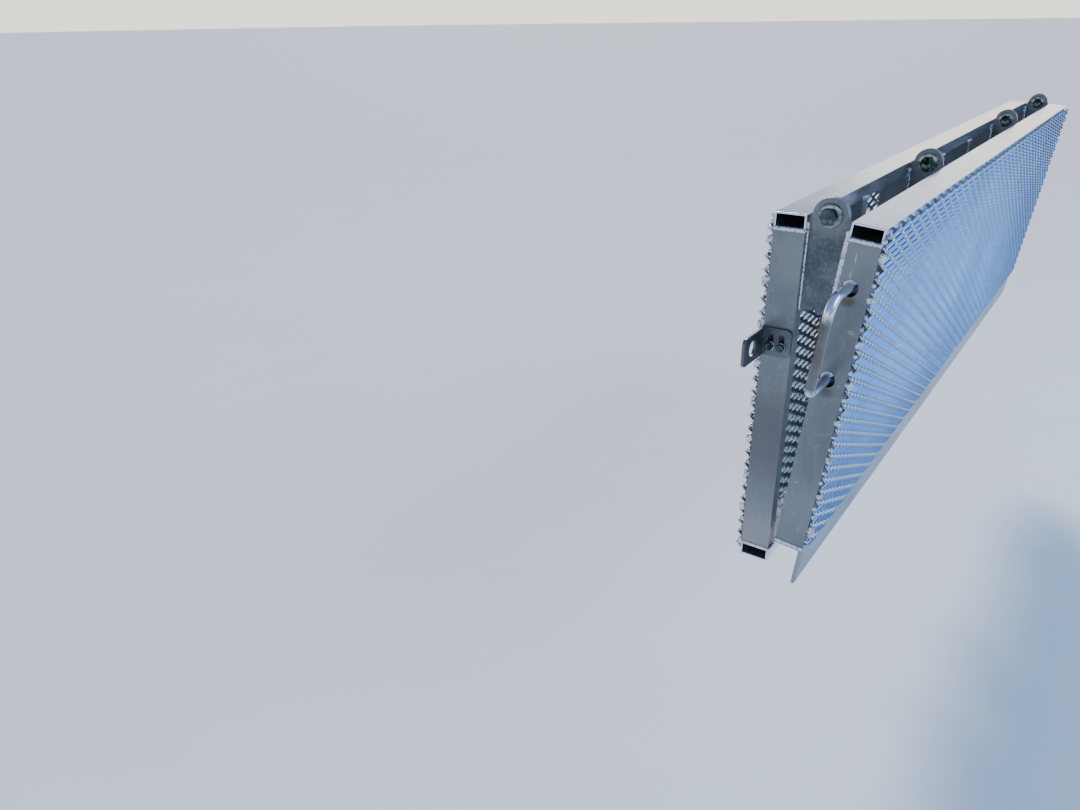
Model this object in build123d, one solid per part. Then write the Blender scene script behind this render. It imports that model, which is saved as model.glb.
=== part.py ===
from build123d import *
import math
import os

# Folding loading ramp: two framed panels covered with raised expanded metal, hinged to each other
# at the top and to a vehicle's rear sill at the bottom. Millimetres, +Z up, +Y towards the vehicle.
# The origin is the middle of the lower hinge line. The ramp stands upright with its outer panel
# folded down behind the inner one.

os.makedirs("parts", exist_ok=True)

# ---- Driving dimensions -------------------------------------------------------------------------
ramp_width = 2133.6         # over both side rails
tube_depth = 50.8           # rail and stile tube, across the panel's thickness
tube_face = 25.4            # rail and stile tube, in the panel's plane
tube_wall = 3.2
upright_gaps = 7            # equal gaps between the 8 uprights of a panel
inner_height = 630.0        # inner panel, over both cross rails
outer_rail_length = 576.0   # outer panel, from its top end to the ends of its side rails

rail_drop = 22.0            # inner panel's bottom face above the lower hinge line
fold_gap = 34.0             # fold hinge line from each panel's hinge-side face
fold_rise = 1.0             # fold hinge line above the panels' top faces
fold_lean = 5.7             # degrees that the folded outer panel leans

mesh_row = 23.4             # height of one diamond of the mesh
mesh_strand = 12.7          # two strands side by side, as in a row of bonds
mesh_sheet = 3.2            # sheet the mesh is made from
mesh_tilt = 45.0            # degrees that the strands are turned out of the panel's plane
mesh_margin = 3.0           # mesh edge from the ends of its panel
mesh_tie = 8.0              # width of the flattened strips over the uprights

lip_leg = 76.2              # angle leg that makes the ground lip
lip_thick = 6.35

plate_thick = 6.35
plate_gap = 0.5             # between the two plates of one fold hinge
plate_radius = 27.0
plate_length = 152.0        # from the fold hinge line down to the plate's lower end
plate_foot = 24.0           # width of the plate's lower end
plate_shoulder = 9.0        # start of the plate's welded edge below the hinge line
fold_uprights = (0, 2, 5, 7)
plate_offsets = (3.0, 3.0, 3.0, 9.2)    # outer panel's plate from its upright's left face

fold_bolt_dia = 15.9
bore_gap = 0.05             # radial running clearance
fold_washer_dia = 38.0
fold_hex = 23.8             # across the flats
fold_head_height = 10.0
fold_nut_height = 13.5
washer_thick = 3.0
washer_hole_gap = 0.6       # radial
side_play = 0.2             # washer to the moving plate
thread_end = 4.0            # bolt beyond its nut
over = 1.0                  # how far a cut runs past the face it opens

handle_dia = 16.0
handle_reach = 85.0         # bar's centre line from the side rail's outer face
handle_top = 95.0           # upper leg below the outer panel's top end
handle_bottom = 249.0
handle_depth = 20.0         # legs from the outer panel's forward face
handle_bend_top = 26.0
handle_bend_bottom = 13.0
handle_hole_dia = 26.0
handle_hole_drop = 3.5      # hole's centre below the bar's

bracket_thick = 4.8
bracket_flat = 50.0         # leg on the side rail, along Y
bracket_height = 48.0
bracket_reach = 84.0        # outward leg from the side rail's face
bracket_base = 396.0        # lower edge above the inner panel's bottom face
bracket_hole_dia = 26.0
bracket_hole_reach = 50.0   # hole's centre from the side rail's face
bracket_corner = 9.0
slot_length = 28.0
slot_width = 9.0
slot_depths = (16.0, 34.5)  # slots from the side rail's rear face
slot_bolt_drop = 6.5        # bolts below the slots' middle

bracket_bolt_dia = 7.9
bracket_bolt_hex = 12.7
bracket_head_height = 5.3
bracket_bolt_length = 20.0
bracket_washer_dia = 17.0
bracket_washer_thick = 1.6
insert_dia = 11.0
insert_flange_dia = 14.0
insert_flange = 2.0
insert_length = 15.0

lug_uprights = (1, 3, 4, 6)
lug_radius = 19.0
lug_thick = 6.35
lug_play = 0.5              # lug to each ear
lower_bolt_dia = 12.7
lower_hex = 19.05
lower_head_height = 8.0
lower_nut_height = 11.0
lower_washer_dia = 27.0
clevis_base_y = 42.0        # rear face of the clevis's base
clevis_base_thick = 8.0
clevis_base_width = 96.0
clevis_base_height = 50.0
clevis_hole_dia = 11.0
clevis_hole_spacing = 70.0

# ---- Worked-out places --------------------------------------------------------------------------
half_width = ramp_width / 2
half_depth = tube_depth / 2
upright_pitch = (ramp_width - tube_face) / upright_gaps
inner_bottom = rail_drop
inner_top = rail_drop + inner_height
fold_y = -half_depth - fold_gap
fold_z = inner_top + fold_rise
fold_place = Location((0, fold_y, fold_z), (fold_lean, 0, 0))
bracket_mid = inner_bottom + bracket_base + bracket_height / 2


def upright_left(index):
    """X of the left face of an upright, counted from the left side rail."""
    return -half_width + index * upright_pitch


def block(x0, x1, y0, y1, z0, z1):
    """A box between two corners."""
    middle = Pos((x0 + x1) / 2, (y0 + y1) / 2, (z0 + z1) / 2)
    return middle * Box(x1 - x0, y1 - y0, z1 - z0)


def cross_rail(y0, z0):
    """A full-width tube with open ends."""
    wall = tube_wall
    outside = block(-half_width, half_width, y0, y0 + tube_depth, z0, z0 + tube_face)
    inside = block(-half_width - over, half_width + over, y0 + wall, y0 + tube_depth - wall,
                   z0 + wall, z0 + tube_face - wall)
    return outside - inside


def upright(x0, y0, z0, z1):
    """A tube that stands between two cross rails."""
    wall = tube_wall
    outside = block(x0, x0 + tube_face, y0, y0 + tube_depth, z0, z1)
    inside = block(x0 + wall, x0 + tube_face - wall, y0 + wall, y0 + tube_depth - wall,
                   z0 - over, z1 + over)
    return outside - inside


def rod_x(x0, x1, y, z, diameter):
    """A round rod along X."""
    return Pos((x0 + x1) / 2, y, z) * Rot(0, 90, 0) * Cylinder(diameter / 2, x1 - x0)


def rod_y(y0, y1, x, z, diameter):
    """A round rod along Y."""
    return Pos(x, (y0 + y1) / 2, z) * Rot(90, 0, 0) * Cylinder(diameter / 2, y1 - y0)


def hex_x(x0, x1, y, z, across_flats):
    """A hexagonal prism along X with one corner up."""
    outline = Pos(y, z) * RegularPolygon(across_flats / 2, 6, major_radius=False, rotation=30)
    return extrude(Plane.YZ.offset(x0) * outline, amount=x1 - x0)


def washer_x(x0, thickness, y, z, outer_dia, hole_dia):
    """A flat washer on an X axis."""
    disc = rod_x(x0, x0 + thickness, y, z, outer_dia)
    return disc - rod_x(x0 - over, x0 + thickness + over, y, z, hole_dia)


def tangent_point(centre, radius, point, side):
    """Where a line from a point touches a circle; side is +1 or -1."""
    dx = point[0] - centre[0]
    dy = point[1] - centre[1]
    distance = math.hypot(dx, dy)
    angle = math.atan2(dy, dx) + side * math.acos(radius / distance)
    return (centre[0] + radius * math.cos(angle), centre[1] + radius * math.sin(angle))


# ---- Panels' shared parts -----------------------------------------------------------------------
def mesh_panel(face_y, outward, z0, z1):
    """Raised expanded metal reduced to tilted slats with a flat strip over each upright.

    outward is the way the slats stand off the frame: +1 for +Y, -1 for -Y. Folded, the slats of both
    panels are parallel, so with the ramp laid out they all lean towards its ground end.
    """
    tilt = math.radians(mesh_tilt)
    rise = mesh_strand * math.sin(tilt) + mesh_sheet * math.cos(tilt)
    reach = mesh_strand * math.cos(tilt) + mesh_sheet * math.sin(tilt)
    low = z0 + mesh_margin
    high = z1 - mesh_margin
    rows = int((high - low - reach) / mesh_row) + 1
    first = (low + high) / 2 - (rows - 1) * mesh_row / 2
    slat = Rot(mesh_tilt, 0, 0) * Box(ramp_width, mesh_strand, mesh_sheet)
    middle_y = face_y + outward * rise / 2
    mesh = Pos(0, middle_y, first) * slat
    for row in range(1, rows):
        mesh += Pos(0, middle_y, first + row * mesh_row) * slat
    tie_outer = face_y + outward * mesh_sheet
    for index in range(upright_gaps + 1):
        x0 = upright_left(index) + (tube_face - mesh_tie) / 2
        mesh += block(x0, x0 + mesh_tie, min(face_y, tie_outer), max(face_y, tie_outer), low, high)
    return mesh


def hinge_plate(face_y, axis_y, axis_z, x0):
    """A tapered gusset with a round top end, welded edge-on to a panel's face."""
    away = 1 if axis_y > face_y else -1
    centre = (axis_y, axis_z)
    shoulder = (face_y, axis_z - plate_shoulder)
    heel = (face_y, axis_z - plate_length)
    foot = (face_y + away * plate_foot, axis_z - plate_length)
    near_touch = tangent_point(centre, plate_radius, shoulder, -away)
    far_touch = tangent_point(centre, plate_radius, foot, away)
    body = make_face(Polyline(shoulder, heel, foot, far_touch, centre, near_touch, close=True))
    outline = body + Pos(axis_y, axis_z) * Circle(plate_radius)
    plate = extrude(Plane.YZ.offset(x0) * outline, amount=plate_thick)
    bore = fold_bolt_dia + 2 * bore_gap
    return plate - rod_x(x0 - over, x0 + plate_thick + over, axis_y, axis_z, bore)


# ---- Inner panel --------------------------------------------------------------------------------
def bracket_bolt_places():
    """Y and Z of a latch bracket's two bolts."""
    return [(-half_depth + depth, bracket_mid - slot_bolt_drop) for depth in slot_depths]


def inner_side_rail(side):
    """Side rail with two holes for the latch bracket's threaded inserts; side is -1 left, +1 right."""
    x0 = upright_left(0 if side < 0 else upright_gaps)
    rail = upright(x0, -half_depth, inner_bottom + tube_face, inner_top - tube_face)
    face = side * half_width
    for y, z in bracket_bolt_places():
        rail -= rod_x(min(face, face - side * 2 * tube_wall), max(face, face - side * 2 * tube_wall), y, z,
                      insert_dia)
    return rail


def latch_bracket(side):
    """Bent plate: one leg on the side rail with two slots, the other standing out with the latch hole."""
    face = side * half_width
    outer = side * (half_width + bracket_thick)
    tip = side * (half_width + bracket_reach)
    low = bracket_mid - bracket_height / 2
    high = bracket_mid + bracket_height / 2
    front = half_depth
    flat = block(min(face, outer), max(face, outer), front - bracket_flat, front, low, high)
    rear_edges = flat.edges().filter_by(Axis.X).group_by(Axis.Y)[0]
    flat = fillet(rear_edges, bracket_corner)
    leg = block(min(face, tip), max(face, tip), front - bracket_thick, front, low, high)
    tip_edges = leg.edges().filter_by(Axis.Y).group_by(Axis.X)[0 if side < 0 else -1]
    leg = fillet(tip_edges, bracket_corner)
    bracket = flat + leg
    for depth in slot_depths:
        y = -half_depth + depth
        straight = (slot_length - slot_width) / 2
        x_low = min(face, outer) - over
        x_high = max(face, outer) + over
        bracket -= block(x_low, x_high, y - slot_width / 2, y + slot_width / 2,
                         bracket_mid - straight, bracket_mid + straight)
        for z in (bracket_mid - straight, bracket_mid + straight):
            bracket -= rod_x(x_low, x_high, y, z, slot_width)
    hole_x = side * (half_width + bracket_hole_reach)
    return bracket - rod_y(front - bracket_thick - over, front + over, hole_x, bracket_mid, bracket_hole_dia)


def bracket_fasteners():
    """Bolts, washers and threaded inserts of both latch brackets."""
    bolts = []
    washers = []
    inserts = []
    for side in (-1, 1):
        face = half_width
        seat = face + bracket_thick
        head = seat + bracket_washer_thick
        for y, z in bracket_bolt_places():
            bolt = hex_x(head, head + bracket_head_height, y, z, bracket_bolt_hex)
            bolt += rod_x(head - bracket_bolt_length, head, y, z, bracket_bolt_dia)
            washer_hole = bracket_bolt_dia + washer_hole_gap
            washer = washer_x(seat, bracket_washer_thick, y, z, bracket_washer_dia, washer_hole)
            inner_wall = face - tube_wall
            insert = rod_x(face - insert_length, face, y, z, insert_dia)
            insert += rod_x(inner_wall - insert_flange, inner_wall, y, z, insert_flange_dia)
            insert -= rod_x(face - insert_length - over, face + over, y, z, bracket_bolt_dia)
            pieces = [bolt, washer, insert]
            if side < 0:
                pieces = [mirror(piece, about=Plane.YZ) for piece in pieces]
            bolts.append(pieces[0])
            washers.append(pieces[1])
            inserts.append(pieces[2])
    return {
        "latch_bracket_bolts": Compound(children=bolts),
        "latch_bracket_washers": Compound(children=washers),
        "latch_bracket_inserts": Compound(children=inserts),
    }


def lower_lug(index):
    """Rounded lug under the bottom rail that turns on the lower hinge bolt."""
    x0 = lug_left(index)
    outline = Circle(lug_radius) + Pos(0, inner_bottom / 2) * Rectangle(2 * lug_radius, inner_bottom)
    lug = extrude(Plane.YZ.offset(x0) * outline, amount=lug_thick)
    return lug - rod_x(x0 - over, x0 + lug_thick + over, 0, 0, lower_bolt_dia + 2 * bore_gap)


def lug_left(index):
    """X of the left face of a lower lug, centred on its stile."""
    return upright_left(index) + (tube_face - lug_thick) / 2


def fold_fasteners():
    """Bolts, washers and nuts of the fold hinges. Each bolt turns with the inner panel's plate."""
    bolts = []
    washers = []
    nuts = []
    for index, offset in zip(fold_uprights, plate_offsets):
        outer_plate = upright_left(index) + offset
        inner_plate_end = outer_plate + 2 * plate_thick + plate_gap
        near_washer = outer_plate - side_play - washer_thick
        nut = inner_plate_end + washer_thick
        nut_end = nut + fold_nut_height
        bolt = hex_x(near_washer - fold_head_height, near_washer, fold_y, fold_z, fold_hex)
        bolt += rod_x(near_washer, nut_end + thread_end, fold_y, fold_z, fold_bolt_dia)
        bolts.append(bolt)
        washer_hole = fold_bolt_dia + 2 * washer_hole_gap
        for x0 in (near_washer, inner_plate_end):
            washers.append(washer_x(x0, washer_thick, fold_y, fold_z, fold_washer_dia, washer_hole))
        nut_body = hex_x(nut, nut_end, fold_y, fold_z, fold_hex)
        nuts.append(nut_body - rod_x(nut - over, nut_end + over, fold_y, fold_z, fold_bolt_dia))
    return {
        "fold_bolts": Compound(children=bolts),
        "fold_washers": Compound(children=washers),
        "fold_nuts": Compound(children=nuts),
    }


def inner_panel():
    """Every node that swings with the inner panel."""
    nodes = {
        "inner_top_rail": cross_rail(-half_depth, inner_top - tube_face),
        "inner_bottom_rail": cross_rail(-half_depth, inner_bottom),
        "inner_side_rail_left": inner_side_rail(-1),
        "inner_side_rail_right": inner_side_rail(1),
        "inner_mesh": mesh_panel(half_depth, 1, inner_bottom, inner_top),
        "latch_bracket_left": latch_bracket(-1),
        "latch_bracket_right": latch_bracket(1),
    }
    for index in range(1, upright_gaps):
        nodes[f"inner_stile_{index}"] = upright(upright_left(index), -half_depth,
                                                inner_bottom + tube_face, inner_top - tube_face)
    for number, (index, offset) in enumerate(zip(fold_uprights, plate_offsets), start=1):
        x0 = upright_left(index) + offset + plate_thick + plate_gap
        nodes[f"inner_hinge_plate_{number}"] = hinge_plate(-half_depth, fold_y, fold_z, x0)
    for number, index in enumerate(lug_uprights, start=1):
        nodes[f"lower_lug_{number}"] = lower_lug(index)
    nodes.update(bracket_fasteners())
    nodes.update(fold_fasteners())
    return nodes


# ---- Outer panel --------------------------------------------------------------------------------
# Its parts are drawn hanging plumb from the fold hinge line, which is the local origin, and then
# leaned to the folded position.
outer_front = -fold_gap
outer_back = -fold_gap - tube_depth
outer_top = -fold_rise
outer_ends = outer_top - outer_rail_length


def handle(side):
    """Round bar bent to a U whose legs pass through the side rail's outer wall."""
    face = side * half_width
    root = side * (half_width - tube_face + tube_wall)
    bar_x = side * (half_width + handle_reach)
    y = outer_front - handle_depth
    top = outer_top - handle_top
    bottom = outer_top - handle_bottom
    corners = [(root, y, top), (bar_x, y, top), (bar_x, y, bottom), (root, y, bottom)]
    path = FilletPolyline(*corners, radius=[handle_bend_top, handle_bend_bottom])
    section = Plane(origin=corners[0], z_dir=(side, 0, 0)) * Circle(handle_dia / 2)
    return sweep(section, path=path)


def outer_side_rail(side):
    """Side rail with the two oversize holes that the handle's legs pass through."""
    x0 = upright_left(0 if side < 0 else upright_gaps)
    rail = upright(x0, outer_back, outer_ends, outer_top - tube_face)
    face = side * half_width
    for drop in (handle_top, handle_bottom):
        z = outer_top - drop - handle_hole_drop
        rail -= rod_x(min(face, face - side * 2 * tube_wall), max(face, face - side * 2 * tube_wall),
                      outer_front - handle_depth, z, handle_hole_dia)
    return rail


def ground_lip():
    """The leg of the angle under the rails that hangs down to meet the ground, heel included."""
    bottom = outer_ends - lip_leg
    return block(-half_width, half_width, outer_back, outer_back + lip_thick, bottom, outer_ends)


def lip_flange():
    """The leg of the same angle that closes the rails' ends."""
    heel = outer_back + lip_thick
    return block(-half_width, half_width, heel, outer_front, outer_ends - lip_thick, outer_ends)


def outer_panel():
    """Every node that swings with the outer panel."""
    nodes = {
        "outer_top_rail": cross_rail(outer_back, outer_top - tube_face),
        "outer_side_rail_left": outer_side_rail(-1),
        "outer_side_rail_right": outer_side_rail(1),
        "outer_mesh": mesh_panel(outer_back, -1, outer_ends, outer_top),
        "ground_lip": ground_lip(),
        "lip_flange": lip_flange(),
        "handle_left": handle(-1),
        "handle_right": handle(1),
    }
    for index in range(1, upright_gaps):
        nodes[f"outer_stile_{index}"] = upright(upright_left(index), outer_back, outer_ends,
                                                outer_top - tube_face)
    for number, (index, offset) in enumerate(zip(fold_uprights, plate_offsets), start=1):
        x0 = upright_left(index) + offset
        nodes[f"outer_hinge_plate_{number}"] = hinge_plate(outer_front, 0, 0, x0)
    return {name: fold_place * solid for name, solid in nodes.items()}


# ---- Lower hinge on the vehicle's sill ----------------------------------------------------------
def hinge_clevis(index):
    """Base plate with two ears that hold a lower lug between them."""
    middle = upright_left(index) + tube_face / 2
    base_front = clevis_base_y + clevis_base_thick
    half_height = clevis_base_height / 2
    clevis = block(middle - clevis_base_width / 2, middle + clevis_base_width / 2,
                   clevis_base_y, base_front, -half_height, half_height)
    outline = Circle(lug_radius) + Pos(clevis_base_y / 2, 0) * Rectangle(clevis_base_y, 2 * lug_radius)
    for x0 in clevis_ears(index):
        clevis += extrude(Plane.YZ.offset(x0) * outline, amount=lug_thick)
    reach = clevis_base_width / 2
    clevis -= rod_x(middle - reach, middle + reach, 0, 0, lower_bolt_dia + 2 * bore_gap)
    for side in (-1, 1):
        hole_x = middle + side * clevis_hole_spacing / 2
        clevis -= rod_y(clevis_base_y - over, base_front + over, hole_x, 0, clevis_hole_dia)
    return clevis


def clevis_ears(index):
    """X of the left faces of a clevis's two ears."""
    lug = lug_left(index)
    return (lug - lug_play - lug_thick, lug + lug_thick + lug_play)


def lower_hinges():
    """Every node that stays on the vehicle."""
    nodes = {}
    bolts = []
    washers = []
    nuts = []
    for number, index in enumerate(lug_uprights, start=1):
        nodes[f"hinge_clevis_{number}"] = hinge_clevis(index)
        left_ear, right_ear = clevis_ears(index)
        head = left_ear - washer_thick
        right_face = right_ear + lug_thick
        nut = right_face + washer_thick
        nut_end = nut + lower_nut_height
        bolt = hex_x(head - lower_head_height, head, 0, 0, lower_hex)
        bolt += rod_x(head, nut_end + thread_end, 0, 0, lower_bolt_dia)
        bolts.append(bolt)
        hole = lower_bolt_dia + 2 * washer_hole_gap
        for x0 in (head, right_face):
            washers.append(washer_x(x0, washer_thick, 0, 0, lower_washer_dia, hole))
        nut_body = hex_x(nut, nut_end, 0, 0, lower_hex)
        nuts.append(nut_body - rod_x(nut - over, nut_end + over, 0, 0, lower_bolt_dia))
    nodes["lower_bolts"] = Compound(children=bolts)
    nodes["lower_washers"] = Compound(children=washers)
    nodes["lower_nuts"] = Compound(children=nuts)
    return nodes


for name, solid in {**lower_hinges(), **inner_panel(), **outer_panel()}.items():
    export_step(solid, f"parts/{name}.step")
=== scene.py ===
import math
import random

import bmesh
import bpy
import numpy as np
from mathutils import Matrix, Vector


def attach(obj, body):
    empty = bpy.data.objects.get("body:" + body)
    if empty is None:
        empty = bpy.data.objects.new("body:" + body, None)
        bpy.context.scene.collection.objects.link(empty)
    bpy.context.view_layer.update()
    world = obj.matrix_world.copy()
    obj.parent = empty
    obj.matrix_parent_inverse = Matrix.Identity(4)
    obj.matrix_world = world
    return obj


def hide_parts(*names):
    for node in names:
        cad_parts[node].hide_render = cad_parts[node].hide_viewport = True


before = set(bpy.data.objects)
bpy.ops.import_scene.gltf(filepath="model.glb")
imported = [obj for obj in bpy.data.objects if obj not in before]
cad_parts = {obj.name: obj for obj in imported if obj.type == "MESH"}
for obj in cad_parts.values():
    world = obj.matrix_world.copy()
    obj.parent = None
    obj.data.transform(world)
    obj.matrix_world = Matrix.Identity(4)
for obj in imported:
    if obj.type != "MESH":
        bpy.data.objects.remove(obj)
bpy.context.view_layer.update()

# Folding loading ramp. Metres, in the frame's own axes: X across, +Y to the vehicle, +Z up.
# Pieces of the outer panel are drawn hanging plumb from the fold hinge line and then leaned.

# ---- Dimensions ---------------------------------------------------------------------------------
WIDTH = 2.1336
HALF = WIDTH / 2
DEPTH = 0.0508
FACE = 0.0254
WALL = 0.0032
GAPS = 7
PITCH = (WIDTH - FACE) / GAPS
INNER_LOW = 0.022
INNER_HIGH = 0.652
INNER_FRONT = DEPTH / 2
INNER_REAR = -DEPTH / 2
FOLD_Y = -0.0594
FOLD_Z = 0.653
LEAN = math.radians(5.7)
OUTER_FRONT = -0.034
OUTER_BACK = OUTER_FRONT - DEPTH
OUTER_TOP = -0.001
OUTER_ENDS = -0.577
PLATE_THICK = 0.00635
PLATE_GAP = 0.0005
PLATE_LENGTH = 0.152
PLATE_SHOULDER = 0.009
FOLD_UPRIGHTS = (0, 2, 5, 7)
PLATE_OFFSETS = (0.003, 0.003, 0.003, 0.0092)
LUG_UPRIGHTS = (1, 3, 4, 6)
HANDLE_DROPS = (0.095, 0.249)
HANDLE_DEPTH = 0.020
HANDLE_REACH = 0.085
HANDLE_BENDS = (0.026, 0.013)
HANDLE_RADIUS = 0.008
BRACKET_FACE = HALF + 0.0048
BRACKET_BOLT_Z = INNER_LOW + 0.396 + 0.024 - 0.0065
BRACKET_BOLT_YS = (INNER_REAR + 0.016, INNER_REAR + 0.0345)

LONG_WAY = 0.0528
SHORT_WAY = 0.0234
STRAND = 0.0063
SHEET = 0.0032
TILT = math.radians(45)
BOND = 0.0120
EASE = 0.0022
RIDGE = 0.0003
SCORE = 0.0014
MESH_MARGIN = 0.003
INNER_BURR = 0.0003
OUTER_BURR = 0.0009
BOND_MIDDLE = BOND / 9
EASE_DROP = 1.4
# Height, rate along X and step per strand of the sheet's slight waves.
SHEET_WAVES = ((0.00025, 9.0, 1.7), (0.0002, 31.0, 5.1))
# Kinds of face on the expanded metal, each a place in its list of materials.
ROLLED, SHEARED, CUT_END, STRETCHED, SCORED = range(5)

JOINT_BEAD = 0.0035
WELD_SMOOTH = 120
TIP_HOLE = 0.0004
TUBE_EDGE = 0.0009
PLATE_EDGE = 0.0007
LUG_THICK = 0.00635
LUG_GAP = 0.0005
HINGE_WASHER = 0.003
ROD_BEYOND_NUT = 0.004
FOLD_BOLT = {"shank": 0.0159, "lead": 0.0023, "across": 0.0238, "head": 0.010, "dish": 0.0009,
             "nut": 0.0135, "washer": 0.038, "hole": 0.0171}
LOWER_BOLT = {"shank": 0.0127, "lead": 0.002, "across": 0.01905, "head": 0.008, "dish": 0.0007,
              "nut": 0.011, "washer": 0.027, "hole": 0.0139}
LATCH_WASHER = 0.0016
LATCH_HEAD = 0.0053
LATCH_ACROSS = 0.0127
LATCH_SHANK = 0.0039

FLOOR_Z = -0.52
FLOOR_HALF = 300.0
HORIZON = (1.0, 0.94, 0.82)
ZENITH = (0.08, 0.14, 0.29)
ZENITH_AT = 0.85
MIDDLE_SKY = (0.5, (0.08, 0.16, 0.35))
REAR_BLUE = (0.10, 0.19, 0.40)
SKY_STRENGTH = 1.9

CAMERA_PLACE = (-2.3408, -0.4438, 0.9251)
CAMERA_YAW = math.radians(54.098)
CAMERA_PITCH = math.radians(24.539)
CAMERA_ROLL = math.radians(-0.83)
SENSOR = 36
LENS = 28.11333

TO_OUTER = Matrix.Translation((0, FOLD_Y, FOLD_Z)) @ Matrix.Rotation(LEAN, 4, "X")
TO_INNER = Matrix.Identity(4)
rng = random.Random(7)


# ---- Node materials -----------------------------------------------------------------------------
class Graph:
    """A material's node tree, built from short calls."""

    def __init__(self, name):
        self.mat = bpy.data.materials.new(name)
        self.mat.use_nodes = True
        self.tree = self.mat.node_tree
        self.tree.nodes.clear()
        self.shader = self.tree.nodes.new("ShaderNodeBsdfPrincipled")
        output = self.tree.nodes.new("ShaderNodeOutputMaterial")
        self.tree.links.new(self.shader.outputs[0], output.inputs[0])
        coords = self.tree.nodes.new("ShaderNodeTexCoord")
        self.place = coords.outputs["Object"]

    def put(self, socket, value):
        if isinstance(value, bpy.types.NodeSocket):
            self.tree.links.new(value, socket)
        else:
            socket.default_value = value

    def mapped(self, scale=(1, 1, 1), turn=(0, 0, 0)):
        node = self.tree.nodes.new("ShaderNodeMapping")
        node.inputs["Scale"].default_value = scale
        node.inputs["Rotation"].default_value = turn
        self.put(node.inputs["Vector"], self.place)
        return node.outputs[0]

    def noise(self, vector, scale, detail=3.0, rough=0.55, warp=0.0):
        node = self.tree.nodes.new("ShaderNodeTexNoise")
        self.put(node.inputs["Vector"], vector)
        node.inputs["Scale"].default_value = scale
        node.inputs["Detail"].default_value = detail
        node.inputs["Roughness"].default_value = rough
        node.inputs["Distortion"].default_value = warp
        return node.outputs["Fac"]

    def cells(self, vector, scale, feature="F1"):
        node = self.tree.nodes.new("ShaderNodeTexVoronoi")
        node.feature = feature
        self.put(node.inputs["Vector"], vector)
        node.inputs["Scale"].default_value = scale
        return node.outputs["Distance"]

    def ramp(self, value, low, high, to_low=0.0, to_high=1.0):
        node = self.tree.nodes.new("ShaderNodeMapRange")
        node.interpolation_type = "SMOOTHSTEP"
        self.put(node.inputs["Value"], value)
        node.inputs["From Min"].default_value = low
        node.inputs["From Max"].default_value = high
        node.inputs["To Min"].default_value = to_low
        node.inputs["To Max"].default_value = to_high
        return node.outputs[0]

    def math(self, operation, a, b=0.0, c=0.0):
        node = self.tree.nodes.new("ShaderNodeMath")
        node.operation = operation
        for socket, value in zip(node.inputs, (a, b, c)):
            self.put(socket, value)
        return node.outputs[0]

    def mix(self, share, a, b, blend="MIX"):
        node = self.tree.nodes.new("ShaderNodeMix")
        node.data_type = "RGBA"
        node.blend_type = blend
        self.put(node.inputs[0], share)
        for socket, value in ((node.inputs[6], a), (node.inputs[7], b)):
            self.put(socket, value if isinstance(value, bpy.types.NodeSocket) else (*value, 1))
        return node.outputs[2]

    def near(self, vector, centre, radii):
        """Distance from a centre, 1 on the surface of an ellipsoid with these radii."""
        away = self.tree.nodes.new("ShaderNodeVectorMath")
        away.operation = "SUBTRACT"
        self.put(away.inputs[0], vector)
        away.inputs[1].default_value = centre
        scaled = self.tree.nodes.new("ShaderNodeVectorMath")
        scaled.operation = "DIVIDE"
        self.put(scaled.inputs[0], away.outputs[0])
        scaled.inputs[1].default_value = radii
        length = self.tree.nodes.new("ShaderNodeVectorMath")
        length.operation = "LENGTH"
        self.put(length.inputs[0], scaled.outputs[0])
        return length.outputs["Value"]

    def bump(self, height, distance, strength=1.0, under=None):
        node = self.tree.nodes.new("ShaderNodeBump")
        node.inputs["Strength"].default_value = strength
        node.inputs["Distance"].default_value = distance
        self.put(node.inputs["Height"], height)
        if under is not None:
            self.put(node.inputs["Normal"], under)
        return node.outputs[0]


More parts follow.
